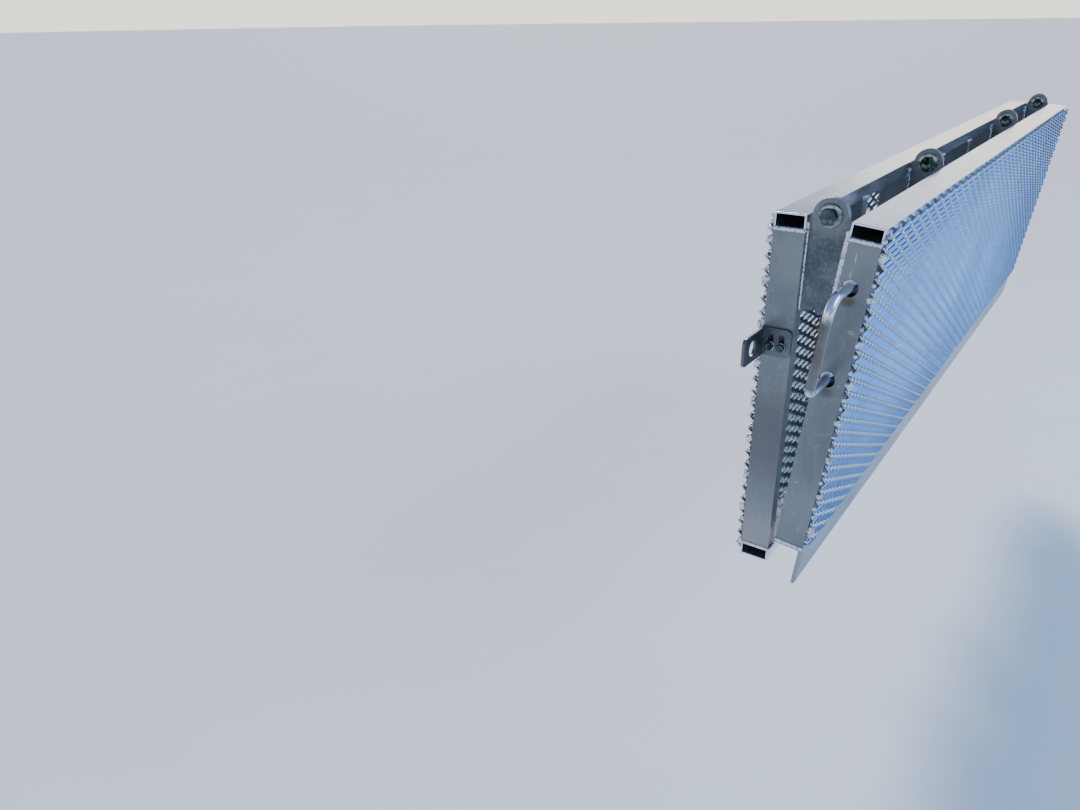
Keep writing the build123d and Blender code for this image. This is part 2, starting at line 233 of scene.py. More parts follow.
def mill_metal(name, pale, deep, rough, along, lean=0.0, metallic=0.9, blotch=7.0, stain=None,
               stain_share=0.5, grain=0.00007, scratch=0.45, mottle=0.0, marks_at=()):
    """Drawn or rolled metal: lines along one axis, blotches, stains, scratches and fine pitting.

    marks_at lists local marks, each a centre, radii, colour and strength.
    """
    g = Graph(name)
    turn = (-lean, 0, 0)
    plain = g.mapped(turn=turn)
    stretch = [420.0, 420.0, 420.0]
    stretch["XYZ".index(along)] = 5.0
    lines = g.noise(g.mapped(scale=stretch, turn=turn), 1.0, 3.0, 0.65)
    broad = g.noise(plain, blotch, 5.0, 0.6, 0.4)
    fine = g.noise(plain, 900.0, 2.0, 0.6)
    cloud = g.noise(plain, 38.0, 4.0, 0.62, 0.8)
    colour = g.mix(g.ramp(broad, 0.32, 0.7), deep, pale)
    colour = g.mix(g.ramp(lines, 0.35, 0.75, 0.0, 0.13), colour, [c * 0.78 for c in deep])
    if mottle:
        spots = g.noise(plain, 190.0, 4.0, 0.7, 0.3)
        colour = g.mix(g.ramp(spots, 0.5, 0.72, 0.0, mottle), colour, [min(1, c * 1.9) for c in pale])
        colour = g.mix(g.ramp(cloud, 0.5, 0.72, 0.0, mottle), colour, [c * 0.5 for c in deep])
    if stain is not None:
        colour = g.mix(g.ramp(cloud, 0.55, 0.75, 0.0, stain_share), colour, stain)
    # Fine straight scratches in two directions, broken up by a mask.
    marks = None
    for angle, seed in ((0.35, 17.0), (-0.6, 41.0)):
        tilt = (-lean + angle, angle * 0.8, angle)
        thin = [30.0, 30.0, 30.0]
        thin["XYZ".index(along)] = 3.0
        field = g.mapped(scale=[v + seed * 0.05 for v in thin], turn=tilt)
        edge = g.cells(field, 1.0, "DISTANCE_TO_EDGE")
        line = g.ramp(edge, 0.0, 0.012, 1.0, 0.0)
        mask = g.ramp(g.noise(plain, 22.0 + seed, 2.0), 0.55, 0.66)
        line = g.math("MULTIPLY", line, mask)
        marks = line if marks is None else g.math("MAXIMUM", marks, line)
    colour = g.mix(g.math("MULTIPLY", marks, scratch), colour, [min(1, c * 1.45) for c in pale])
    ragged = g.math("MULTIPLY_ADD", g.noise(plain, 120.0, 4.0, 0.7), 0.9, -0.45)
    for centre, radii, shade, strength in marks_at:
        reach = g.math("ADD", g.near(g.place, centre, radii), ragged)
        colour = g.mix(g.ramp(reach, 0.3, 1.15, strength, 0.0), colour, shade)
    g.put(g.shader.inputs["Base Color"], colour)
    g.shader.inputs["Metallic"].default_value = metallic
    roughness = g.math("MULTIPLY_ADD", lines, 0.16, rough - 0.08)
    roughness = g.math("MULTIPLY_ADD", cloud, 0.14, g.math("ADD", roughness, -0.07))
    g.put(g.shader.inputs["Roughness"], roughness)
    height = g.math("ADD", g.math("MULTIPLY", lines, 0.7), g.math("MULTIPLY", fine, 0.3))
    height = g.math("SUBTRACT", height, g.math("MULTIPLY", marks, 0.12))
    g.put(g.shader.inputs["Normal"], g.bump(height, grain, 0.8))
    return g


def weld_metal(name, bright, soot, rough=0.36):
    """Aluminium weld bead: bright, grainy, with a little soot in its hollows."""
    g = Graph(name)
    plain = g.mapped()
    grain = g.noise(plain, 500.0, 2.0, 0.6)
    spots = g.noise(plain, 170.0, 4.0, 0.7, 0.5)
    colour = g.mix(g.ramp(spots, 0.34, 0.5), soot, bright)
    colour = g.mix(g.ramp(grain, 0.6, 0.8, 0.0, 0.3), colour, [c * 0.6 for c in bright])
    g.put(g.shader.inputs["Base Color"], colour)
    g.shader.inputs["Metallic"].default_value = 0.8
    g.put(g.shader.inputs["Roughness"], g.math("MULTIPLY_ADD", spots, 0.3, rough - 0.15))
    g.put(g.shader.inputs["Normal"], g.bump(g.math("ADD", grain, spots), 0.0001, 0.8))
    return g


def sheared_metal(name, bright, deep, metallic=0.35):
    """The torn edge left by the press, rough and streaked across the sheet, in colours of painted light and
    shade.
    """
    g = Graph(name)
    plain = g.mapped()
    streak = g.noise(g.mapped(scale=(900.0, 120.0, 120.0)), 1.0, 3.0, 0.6)
    spots = g.noise(plain, 260.0, 3.0, 0.6)
    colour = g.mix(g.ramp(spots, 0.36, 0.56), deep, bright)
    colour = g.mix(g.ramp(streak, 0.5, 0.75, 0.0, 0.35), colour, deep)
    g.put(g.shader.inputs["Base Color"], colour)
    g.shader.inputs["Metallic"].default_value = metallic
    g.put(g.shader.inputs["Roughness"], g.math("MULTIPLY_ADD", streak, 0.25, 0.3))
    g.put(g.shader.inputs["Normal"], g.bump(streak, 0.0001, 0.7))
    return g


def zinc_metal(name, pale, deep, tint, rough=0.3):
    """Bright zinc plating with its faint yellow and green colours."""
    g = Graph(name)
    plain = g.mapped()
    cloud = g.noise(plain, 60.0, 4.0, 0.6, 0.6)
    film = g.noise(plain, 24.0, 3.0, 0.5, 1.2)
    grain = g.noise(plain, 1400.0, 2.0, 0.6)
    colour = g.mix(g.ramp(cloud, 0.35, 0.68), deep, pale)
    colour = g.mix(g.ramp(film, 0.45, 0.65, 0.0, 0.55), colour, tint)
    g.put(g.shader.inputs["Base Color"], colour)
    g.shader.inputs["Metallic"].default_value = 1.0
    g.put(g.shader.inputs["Roughness"], g.math("MULTIPLY_ADD", cloud, 0.2, rough - 0.1))
    g.put(g.shader.inputs["Normal"], g.bump(grain, 0.00005, 0.7))
    return g


def side_rail_marks():
    """Brown marks under both handle holes, and scratches down the outer side rails."""
    brown = (0.10, 0.08, 0.065)
    scratch = (0.75, 0.76, 0.76)
    marks = []
    for drop in HANDLE_DROPS:
        centre = TO_OUTER @ Vector((0, OUTER_FRONT - HANDLE_DEPTH - 0.002, OUTER_TOP - drop - 0.024))
        marks.append((centre, (9, 0.016, 0.011), brown, 0.75))
        centre = TO_OUTER @ Vector((0, OUTER_FRONT - HANDLE_DEPTH + 0.013, OUTER_TOP - drop - 0.012))
        marks.append((centre, (9, 0.010, 0.010), brown, 0.5))
    for drop, depth, wide, tall in ((0.052, 0.018, 0.0010, 0.010), (0.078, 0.016, 0.0010, 0.008),
                                    (0.1640, 0.038, 0.006, 0.0010), (0.1675, 0.039, 0.005, 0.0010),
                                    (0.451, 0.012, 0.004, 0.0010)):
        centre = TO_OUTER @ Vector((0, OUTER_FRONT - depth, OUTER_TOP - drop))
        marks.append((centre, (9, wide, tall), scratch, 0.5))
    return marks


def handle_bend_highlights():
    """Painted highlights that keep both bends of the grab handles bright."""
    marks = []
    for drop, down, reach, shade in ((HANDLE_DROPS[0], 0.004, 0.030, (0.86, 0.90, 0.95)),
                                     (HANDLE_DROPS[1], 0.0, 0.012, (0.60, 0.66, 0.76))):
        centre = TO_OUTER @ Vector((0, OUTER_FRONT - HANDLE_DEPTH, OUTER_TOP - drop - down))
        marks.append((centre, (9, 9, reach), shade, 0.95))
    return marks


def materials():
    """Every finish of the ramp, by name."""
    warm = (0.44, 0.40, 0.36)
    made = {}
    # Dark tones of the uprights and side rails: painted shade on their side faces, which are the same tube
    # metal as the cross rails.
    pale, deep = (0.215, 0.245, 0.27), (0.145, 0.17, 0.19)
    # Both sheets are the same metal: the outer sheet's blue is a painted reflection of the blue sky, and the
    # inner sheet's duller grey is painted shade between the panels.
    mesh_tones = {"inner": ((0.36, 0.375, 0.385), (0.26, 0.275, 0.29)),
                  "outer": ((0.16, 0.26, 0.44), (0.115, 0.195, 0.34))}
    shaded = (Vector((0, 0, 0.27)), (9, 9, 0.13), (0.12, 0.12, 0.13), 0.65)
    # Lighter towards the bottom of the inner side rails.
    lighter_bottom = (Vector((0, 0, 0.06)), (9, 9, 0.08), (0.36, 0.35, 0.34), 0.6)
    # Near-black marks on the inner side rails behind the latch bracket slots: painted shade in the slots.
    slots = [(Vector((0, y, BRACKET_BOLT_Z + 0.008)), (9, 0.0055, 0.018), (0.02, 0.02, 0.025), 0.95)
             for y in BRACKET_BOLT_YS]
    # Near-white tones of the cross rails, brighter on the outer panel: painted light on their lit top faces.
    cross_lit_tones = {"inner": ((0.86, 0.88, 0.91), (0.72, 0.76, 0.83)),
                   "outer": ((0.96, 0.96, 0.96), (0.84, 0.86, 0.89))}
    for tag, lean in (("inner", 0.0), ("outer", LEAN)):
        made[f"{tag}_cross"] = mill_metal(f"{tag}_cross_rail_metal", *cross_lit_tones[tag], 0.15,
                                          "X", lean, stain=warm, stain_share=0.3, metallic=0.96).mat
        made[f"{tag}_upright"] = mill_metal(f"{tag}_upright_metal", pale, deep, 0.4, "Z", lean, stain=warm,
                                            stain_share=0.25).mat
        made[f"{tag}_mesh"] = mill_metal(f"{tag}_mesh_metal", *mesh_tones[tag], 0.27, "X", lean, blotch=3.5,
                                         scratch=0.2, grain=0.00008, metallic=0.9).mat
    made["outer_side"] = mill_metal("outer_side_rail_metal", pale, deep, 0.4, "Z", LEAN, stain=warm,
                                    stain_share=0.25, marks_at=side_rail_marks()).mat
    made["inner_side"] = mill_metal("inner_side_rail_metal", pale, deep, 0.4, "Z", stain=warm,
                                    stain_share=0.25, marks_at=[shaded, lighter_bottom, *slots]).mat
    # Dark blue of the outer sheet's sheared edges: painted shade in the gaps between strands, tinted as a
    # painted reflection of the blue sky.
    made["sheared"] = sheared_metal("sheared_edge_metal", (0.07, 0.12, 0.22), (0.04, 0.07, 0.13)).mat
    # Dark blue of the score line along each outer strand: painted shade of a crease, tinted as a painted
    # reflection of the blue sky.
    made["outer_bond"] = mill_metal("outer_bond_metal", (0.09, 0.15, 0.27), (0.06, 0.10, 0.19), 0.45,
                                    "X", LEAN, blotch=3.5, scratch=0.2, metallic=0.75).mat
    # White of the stretched ends of each outer bond: a painted glint.
    made["knuckle"] = sheared_metal("bond_end_glint_metal", (1.0, 1.0, 1.0), (0.88, 0.94, 0.98), 0.1).mat
    # Near-white of the mesh's cut ends: painted highlight.
    made["cut_end"] = sheared_metal("cut_end_metal", (0.92, 0.93, 0.92), (0.60, 0.62, 0.64)).mat
    made["lip"] = mill_metal("ground_lip_metal", (0.36, 0.40, 0.46), (0.27, 0.305, 0.36), 0.42, "X", LEAN,
                             stain=warm, stain_share=0.4).mat
    # Painted light: the hinge plates lighter near their tops, round the fold axis.
    crown = (Vector((0, FOLD_Y, FOLD_Z)), (9, 0.045, 0.04), (0.22, 0.24, 0.26), 0.6)
    made["plate"] = mill_metal("hinge_plate_metal", (0.135, 0.16, 0.185), (0.075, 0.09, 0.11), 0.42, "Z",
                               blotch=16.0, mottle=0.45, scratch=0.8, grain=0.0002, marks_at=[crown]).mat
    made["bracket"] = mill_metal("latch_plate_metal", (0.15, 0.165, 0.18), (0.105, 0.12, 0.135), 0.36, "Z",
                                 blotch=20.0, mottle=0.2).mat
    # The bright bends of the handle bar are painted highlights.
    made["handle"] = mill_metal("handle_bar_metal", (0.17, 0.175, 0.185), (0.11, 0.105, 0.10), 0.2, "Z", LEAN,
                                blotch=14.0, stain=(0.07, 0.06, 0.052), stain_share=0.7,
                                marks_at=handle_bend_highlights()).mat
    made["steel"] = mill_metal("hinge_steel_metal", (0.34, 0.36, 0.40), (0.2, 0.22, 0.25), 0.45, "Z",
                               blotch=18.0, mottle=0.4).mat
    made["weld"] = weld_metal("weld_bead_metal", (0.70, 0.74, 0.79), (0.28, 0.27, 0.25), 0.26).mat
    made["zinc"] = zinc_metal("zinc_plating", (0.26, 0.32, 0.32), (0.09, 0.12, 0.13),
                              (0.25, 0.28, 0.22), 0.16).mat
    made["bolt"] = zinc_metal("bolt_plating", (0.085, 0.12, 0.135), (0.035, 0.055, 0.065),
                              (0.11, 0.125, 0.105), 0.16).mat
    return made


MAT = materials()


# ---- Mesh helpers -------------------------------------------------------------------------------
def new_piece(name, verts, faces, mats, smooth_below=35.0, place=TO_INNER, kinds=None):
    """A mesh object in the row frame, shaded smooth except across sharp edges.

    kinds gives each face's place in the list of materials.
    """
    mesh = bpy.data.meshes.new(name)
    mesh.from_pydata([tuple(v) for v in verts], [], faces)
    mesh.transform(place)
    for mat in mats:
        mesh.materials.append(mat)
    if kinds:
        mesh.polygons.foreach_set("material_index", kinds)
    work = bmesh.new()
    work.from_mesh(mesh)
    bmesh.ops.recalc_face_normals(work, faces=work.faces)
    work.to_mesh(mesh)
    work.free()
    mesh.shade_smooth()
    mesh.set_sharp_from_angle(angle=math.radians(smooth_below))
    obj = bpy.data.objects.new(name, mesh)
    bpy.context.scene.collection.objects.link(obj)
    return obj


class Soup:
    """Verts and faces of several closed shells that make one piece."""

    def __init__(self):
        self.verts = []
        self.faces = []

    def add(self, verts, faces):
        start = len(self.verts)
        self.verts += [tuple(v) for v in verts]
        self.faces += [[start + i for i in face] for face in faces]

    def rings(self, rings, closed=False):
        """Loft through rings of equal length; an open loft gets end caps."""
        count = len(rings[0])
        verts = [p for ring in rings for p in ring]
        faces = []
        total = len(rings)
        for r in range(total if closed else total - 1):
            a = r * count
            b = ((r + 1) % total) * count
            for i in range(count):
                j = (i + 1) % count
                faces.append([a + i, a + j, b + j, b + i])
        if not closed:
            faces.append(list(range(count))[::-1])
            faces.append([(total - 1) * count + i for i in range(count)])
        self.add(verts, faces)

    def piece(self, name, mat, smooth_below=35.0, place=TO_INNER):
        return new_piece(name, self.verts, self.faces, [mat], smooth_below, place)


# ---- Raised expanded metal ----------------------------------------------------------------------
def expanded_metal(name, face_y, outward, z0, z1, mats, place, burr_width):
    """One manifold sheet of raised diamonds: strands joined edge to edge at every bond.

    Folded, the strands of both panels are parallel. mats has one material for each kind of
    face: rolled faces, sheared edges, cut ends, the stretched metal at both ends of each bond,
    and the score line along the middle of each strand.
    """
    cos, sin = math.cos(TILT), math.sin(TILT)
    half_rise = STRAND * sin + SHEET * cos / 2
    step = SHORT_WAY / 2
    shift = step / 2 - STRAND / 2 * cos
    poke = STRAND / 2 * sin
    room = (z1 - z0) - 2 * (shift + (STRAND * cos + SHEET * sin) / 2)
    strips = int(room / step) + 1
    middle = (z0 + z1) / 2
    columns = round(WIDTH / (LONG_WAY / 2))
    # Sample places along X: both sides of each bond's middle, its ends, and where strands straighten.
    samples = []
    for column in range(columns + 1):
        x = -HALF + column * LONG_WAY / 2
        for offset in (-BOND / 2 - EASE, -BOND / 2, -BOND_MIDDLE, BOND_MIDDLE, BOND / 2, BOND / 2 + EASE):
            if column == 0 and offset < 0 or column == columns and offset > 0:
                continue
            samples.append((x + offset, column, abs(offset) <= BOND / 2))
        if column == 0:
            samples.insert(0, (x, 0, True))
        if column == columns:
            samples.append((x, column, True))
    down = np.array([0.0, -sin, -cos])
    normal = np.array([0.0, -cos, sin])
    mean_y = face_y + outward * half_rise
    flow = LONG_WAY / 2 - BOND - 2 * EASE
    verts = []
    faces = []
    kinds = []

    def face(kind, *corners):
        faces.append(list(corners))
        kinds.append(kind)

    def vert(point):
        verts.append(tuple(point))
        return len(verts) - 1

    above = None
    for strip in range(strips):
        z_mid = middle + ((strips - 1) / 2 - strip) * step
        ids = []
        for number, (x, column, in_bond) in enumerate(samples):
            bonded_up = (column + strip) % 2 == 0
            side = 1.0 if bonded_up else -1.0
            if not in_bond:
                side *= 1.0 - EASE_DROP * EASE / (flow + 2 * EASE)
            wave = sum(high * math.sin(x * rate + strip * turn) for high, rate, turn in SHEET_WAVES)
            centre = np.array([x, mean_y - side * poke, z_mid + side * shift + wave])
            merged = above is not None and in_bond and bonded_up
            if merged:
                top = above[number][2:4]
            else:
                edge = centre - down * STRAND / 2
                top = (vert(edge + normal * SHEET / 2), vert(edge - normal * SHEET / 2))
            edge = centre + down * STRAND / 2
            low = (vert(edge + normal * SHEET / 2), vert(edge - normal * SHEET / 2))
            crest = centre + normal * (SHEET / 2 + RIDGE)
            ids.append((*top, *low, vert(crest - down * SCORE / 2), vert(crest + down * SCORE / 2)))
        for i in range(len(samples) - 1):
            a, b = ids[i], ids[i + 1]
            joined = samples[i][2] and samples[i + 1][2] and samples[i][1] == samples[i + 1][1]
            up_bond = joined and (samples[i][1] + strip) % 2 == 0 and strip > 0
            low_bond = joined and (samples[i][1] + strip) % 2 == 1 and strip < strips - 1
            middle_x = (samples[i][0] + samples[i + 1][0]) / 2 + HALF - samples[i][1] * LONG_WAY / 2
            bright = joined and abs(middle_x) > BOND_MIDDLE / 2
            bonded_up = (samples[i][1] + strip) % 2 == 0
            face(STRETCHED if bright and bonded_up else ROLLED, a[0], a[4], b[4], b[0])
            face(SCORED, a[4], a[5], b[5], b[4])
            face(STRETCHED if bright and not bonded_up else ROLLED, a[5], a[2], b[2], b[5])
            face(ROLLED, a[3], a[1], b[1], b[3])
            if not up_bond:
                face(SHEARED, a[1], a[0], b[0], b[1])
            if not low_bond:
                face(SHEARED, a[2], a[3], b[3], b[2])
        first, last = ids[0], ids[-1]
        face(CUT_END, first[1], first[3], first[2], first[5], first[4], first[0])
        face(CUT_END, last[0], last[4], last[5], last[2], last[3], last[1])
        above = ids
    sheet = new_piece(name, verts, faces, mats, 38.0, place, kinds)
    burr = sheet.modifiers.new("burr", "BEVEL")
    burr.width = burr_width
    burr.segments = 1
    burr.limit_method = "ANGLE"
    burr.angle_limit = math.radians(50)
    burr.material = SHEARED
    burr.harden_normals = True
    return sheet


# ---- Welds --------------------------------------------------------------------------------------
def bead(soup, path, radius, closed=False, lump=0.28, pitch=0.0026, flat=1.0):
    """A rippled weld bead along a path of points; flat scales it along its second normal."""
    points = [Vector(p) for p in path]
    if closed:
        points.append(points[0])
    lengths = [0.0]
    for a, b in zip(points, points[1:]):
        lengths.append(lengths[-1] + (b - a).length)
    total = lengths[-1]
    count = max(4, int(total / 0.0011))
    rings = []
    phase = rng.uniform(0, 6.3)
    sides = 10
    old = None
    for k in range(count if closed else count + 1):
        s = total * k / count
        i = 0
        while i < len(points) - 2 and lengths[i + 1] < s:
            i += 1
        share = (s - lengths[i]) / max(1e-9, lengths[i + 1] - lengths[i])
        centre = points[i].lerp(points[i + 1], share)
        along = (points[i + 1] - points[i]).normalized()
        if old is None:
            seed = Vector((0, 0, 1)) if abs(along.z) < 0.9 else Vector((0, 1, 0))
            first = along.cross(seed).normalized()
        else:
            first = (old - along * old.dot(along))
            first = first.normalized() if first.length > 1e-3 else along.orthogonal().normalized()
        old = first
        second = along.cross(first)
        ripple = abs(math.sin(math.pi * s / pitch + phase))
        size = radius * (0.85 + lump * ripple + rng.uniform(-0.25, 0.25) * lump)
        if not closed and (k == 0 or k == count):
            size *= 0.45
        centre = centre + first * rng.uniform(-0.1, 0.1) * radius + second * rng.uniform(-0.1, 0.1) * radius
        ring = []
        for j in range(sides):
            angle = 2 * math.pi * j / sides
            wob = size * (1 + rng.uniform(-0.05, 0.05))
            ring.append(centre + first * math.cos(angle) * wob + second * math.sin(angle) * wob * flat)
        rings.append(ring)
    soup.rings(rings, closed)


def blob(soup, centre, radii, rows=7, sides=12, rough=0.09):
    """A lumpy round weld nub."""
    rings = []
    for r in range(1, rows):
        lat = math.pi * r / rows
        ring = []
        for s in range(sides):
            lon = 2 * math.pi * s / sides
            k = 1 + rng.uniform(-rough, rough)
            ring.append((centre[0] + radii[0] * math.sin(lat) * math.cos(lon) * k,
                         centre[1] + radii[1] * math.sin(lat) * math.sin(lon) * k,
                         centre[2] + radii[2] * math.cos(lat) * k))
        rings.append(ring)
    soup.rings(rings)


def joint_beads(soup, z, front, back, mesh_side, radius):
    """Beads round each upright where it meets a cross rail, except on the side the mesh covers."""
    for index in range(GAPS + 1):
        x0 = -HALF + index * PITCH
        x1 = x0 + FACE
        start, end = (back, front) if mesh_side == "back" else (front, back)
        path = [(x0, start, z), (x0, end, z), (x1, end, z), (x1, start, z)]
        bead(soup, path, radius * 0.66, lump=0.15, flat=1.7)


def hinge_seams(soup, panel):
    """Fillet beads down both sides of each hinge plate's welded edge."""
    for index, offset in zip(FOLD_UPRIGHTS, PLATE_OFFSETS):
        x0 = -HALF + index * PITCH + offset
        if panel == "inner":
            x0 += PLATE_THICK + PLATE_GAP
            y = INNER_REAR
            top = FOLD_Z - PLATE_SHOULDER - 0.004
            low = FOLD_Z - PLATE_LENGTH
            near = y - 0.0012
            sides = (x0 - 0.0002, x0 + PLATE_THICK + 0.0006)
            radius = 0.0027
        else:
            y = OUTER_FRONT
            top = -PLATE_SHOULDER - 0.004
            low = -PLATE_LENGTH
            near = y + 0.0012
            sides = (x0 - 0.0006, x0 + PLATE_THICK + 0.0002)
            radius = 0.0040
        for x in sides:
            bead(soup, [(x, near, top), (x, near, low)], radius, lump=0.34)
        bead(soup, [(sides[0], near, low), (sides[1], near, low)], 0.003)


def edge_nubs(soup, face_y, outward, z0, z1):
    """Welds that tie the mesh's cut ends to the side rails."""
    count = int((z1 - z0) / SHORT_WAY)
    for side in (-1, 1):
        for k in range(count):
            z = z1 - (k + 0.75) * SHORT_WAY
            x = side * (HALF - 0.0015)
            big = k % 3 == 1
            size = 0.0062 if big else 0.0042
            for _ in range(3 if big else 1):
                centre = (x + rng.uniform(-0.002, 0.0015) * (1 if big else 0.5) * side,
                          face_y + outward * rng.uniform(0.001, 0.006 if big else 0.003),
                          z + rng.uniform(-0.004, 0.004))
                blob(soup, centre, (size * rng.uniform(0.5, 0.8), size * rng.uniform(0.6, 1.0),
                                    size * rng.uniform(0.7, 1.2)))


def plug_welds(soup, face_y, outward, z0, z1):
    """Spot welds through the mesh's openings on the stiles."""
    for index in range(1, GAPS):
        x = -HALF + index * PITCH + FACE / 2
        rows = 5
        for row in range(rows):
            z = z0 + (z1 - z0) * (row + 0.5 + rng.uniform(-0.2, 0.2)) / rows
            for _ in range(3):
                centre = (x + rng.uniform(-0.004, 0.004), face_y + outward * rng.uniform(0.001, 0.005),
                          z + rng.uniform(-0.003, 0.003))
                blob(soup, centre, (rng.uniform(0.003, 0.005), rng.uniform(0.002, 0.0045),
                                    rng.uniform(0.002, 0.004)))


# ---- Fasteners ----------------------------------------------------------------------------------
def hex_radius(angle, across):
    fold = (angle + math.pi / 6) % (math.pi / 3) - math.pi / 6
    return across / 2 / math.cos(fold)


def hex_body(soup, x0, x1, y, z, across, chamfer_ends, bore=0.0, dish=0.0):
    """Hexagon along X with turned chamfers; chamfer_ends are the ends that have one, -1 and +1."""
    steps = 48
    angles = [2 * math.pi * (i + 0.5) / steps for i in range(steps)]
    drop = math.tan(math.radians(30))
    crown = across / 2 * 0.955

    def ring(x_of, r_of):
        return [(x_of(a), y + r_of(a) * math.sin(a), z + r_of(a) * math.cos(a)) for a in angles]

    def side(a):
        return hex_radius(a, across)

    profile = []
    inner = max(bore, TIP_HOLE)
    if -1 in chamfer_ends:
        profile.append(ring(lambda a: x0 + dish, lambda a: inner if bore else crown * 0.30))
        if not bore:
            profile.append(ring(lambda a: x0 + dish * 0.9, lambda a: crown * 0.62))
        profile.append(ring(lambda a: x0, lambda a: crown * (0.78 if not bore else 0.96)))
        profile.append(ring(lambda a: x0, lambda a: crown))
        profile.append(ring(lambda a: x0 + (side(a) - crown) * drop + 0.0002, side))
    else:
        profile.append(ring(lambda a: x0, lambda a: inner))
        profile.append(ring(lambda a: x0, side))
    if 1 in chamfer_ends:
        profile.append(ring(lambda a: x1 - (side(a) - crown) * drop - 0.0002, side))
        profile.append(ring(lambda a: x1, lambda a: crown))
        profile.append(ring(lambda a: x1, lambda a: inner))
    else:
        profile.append(ring(lambda a: x1, side))
        profile.append(ring(lambda a: x1, lambda a: inner))
    soup.rings(profile, closed=bool(bore))


def lathe_x(soup, y, z, profile, steps=40, closed=True):
    """Turned shape on an X axis from (x, radius) points."""
    angles = [2 * math.pi * i / steps for i in range(steps)]
    rings = [[(x, y + r * math.sin(a), z + r * math.cos(a)) for a in angles] for x, r in profile]
    soup.rings(rings, closed)


def washer(soup, x0, thick, y, z, outer, hole):
    """Punched washer: rounded on one face, sharp on the other."""
    edge = thick * 0.42
    ro, ri = outer / 2, hole / 2
    lathe_x(soup, y, z, [(x0, ri + edge * 0.6), (x0, ro - edge), (x0 + edge * 0.35, ro - edge * 0.35),
                         (x0 + edge, ro), (x0 + thick - edge * 0.5, ro), (x0 + thick, ro - edge * 0.5),
                         (x0 + thick, ri + edge * 0.3), (x0 + thick - edge * 0.3, ri), (x0 + edge * 0.6, ri)])


def threaded_rod(soup, x0, x1, y, z, dia, lead, thread_from):
    """Rod with a helical thread beyond thread_from and a chamfered end."""
    steps = 32
    depth = lead * 0.52
    rings = []
    span = x1 - thread_from
    count = int(span / (lead / 6))
    places = [x0, thread_from - 0.0002]
    places += [thread_from + span * k / count for k in range(count + 1)]
    for x in places:
        ring = []
        for i in range(steps):
            angle = 2 * math.pi * i / steps
            r = dia / 2
            if x >= thread_from:
                turn = ((x - thread_from) / lead - i / steps) % 1.0
                r -= depth * abs(2 * turn - 1)
            r = min(r, dia / 2 - depth + max(0.0, x1 - x) * 1.2 + 0.0002)
            ring.append((x, y + r * math.sin(angle), z + r * math.cos(angle)))
        rings.append(ring)
    soup.rings(rings)


# ---- Build --------------------------------------------------------------------------------------
def give(piece, body, slot, *nodes):
    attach(piece, body)
    if nodes:
        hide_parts(*nodes)
    return piece


def build_meshes():
    """Both sheets of expanded metal; only the outer one has its own finish for every kind of face."""
    plain = MAT["inner_mesh"]
    inner = expanded_metal("inner_expanded_mesh", INNER_FRONT, 1, INNER_LOW + MESH_MARGIN,
                           INNER_HIGH - MESH_MARGIN, [plain, plain, MAT["cut_end"], plain, plain],
                           TO_INNER, INNER_BURR)
    give(inner, "inner_panel", "expanded_mesh", "inner_mesh")
    finishes = [MAT[key] for key in ("outer_mesh", "sheared", "cut_end", "knuckle", "outer_bond")]
    outer = expanded_metal("outer_expanded_mesh", OUTER_BACK, -1, OUTER_ENDS + MESH_MARGIN,
                           OUTER_TOP - MESH_MARGIN, finishes, TO_OUTER, OUTER_BURR)
    give(outer, "outer_panel", "expanded_mesh", "outer_mesh")


def build_welds():
    frame_soup = Soup()
    joint_beads(frame_soup, INNER_HIGH - FACE, INNER_FRONT, INNER_REAR, "front", JOINT_BEAD)
    joint_beads(frame_soup, INNER_LOW + FACE, INNER_FRONT, INNER_REAR, "front", JOINT_BEAD)
    give(frame_soup.piece("inner_joint_welds", MAT["weld"], WELD_SMOOTH), "inner_panel", "frame_tube")
    seams = Soup()
    hinge_seams(seams, "inner")
    give(seams.piece("inner_hinge_welds", MAT["weld"], WELD_SMOOTH), "inner_panel", "hinge_plates")
    ties = Soup()
    edge_nubs(ties, INNER_FRONT, 1, INNER_LOW, INNER_HIGH)
    plug_welds(ties, INNER_FRONT, 1, INNER_LOW, INNER_HIGH)
    give(ties.piece("inner_mesh_welds", MAT["weld"], WELD_SMOOTH), "inner_panel", "expanded_mesh")

    frame_soup = Soup()
    joint_beads(frame_soup, OUTER_TOP - FACE, OUTER_FRONT, OUTER_BACK, "back", JOINT_BEAD)
    joint_beads(frame_soup, OUTER_ENDS, OUTER_FRONT, OUTER_BACK, "back", JOINT_BEAD)
    give(frame_soup.piece("outer_joint_welds", MAT["weld"], WELD_SMOOTH, TO_OUTER), "outer_panel",
         "frame_tube")
    seams = Soup()
    hinge_seams(seams, "outer")
    give(seams.piece("outer_hinge_welds", MAT["weld"], WELD_SMOOTH, TO_OUTER), "outer_panel", "hinge_plates")
    ties = Soup()
    edge_nubs(ties, OUTER_BACK, -1, OUTER_ENDS, OUTER_TOP)
    plug_welds(ties, OUTER_BACK, -1, OUTER_ENDS, OUTER_TOP)
    give(ties.piece("outer_mesh_welds", MAT["weld"], WELD_SMOOTH, TO_OUTER), "outer_panel", "expanded_mesh")


def hinge_fasteners(spots, y, z, size):
    """Bolts, washers and nuts along X; each spot is where its two washers start."""
    bolts, washers, nuts = Soup(), Soup(), Soup()
    for head, far in spots:
        nut = far + HINGE_WASHER
        nut_end = nut + size["nut"]
        hex_body(bolts, head - size["head"], head, y, z, size["across"], (-1,), dish=size["dish"])
        threaded_rod(bolts, head, nut_end + ROD_BEYOND_NUT, y, z, size["shank"], size["lead"], nut)
        for x in (head, far):
            washer(washers, x, HINGE_WASHER, y, z, size["washer"], size["hole"])
        hex_body(nuts, nut, nut_end, y, z, size["across"], (-1, 1), bore=size["shank"] / 2)
    return bolts, washers, nuts


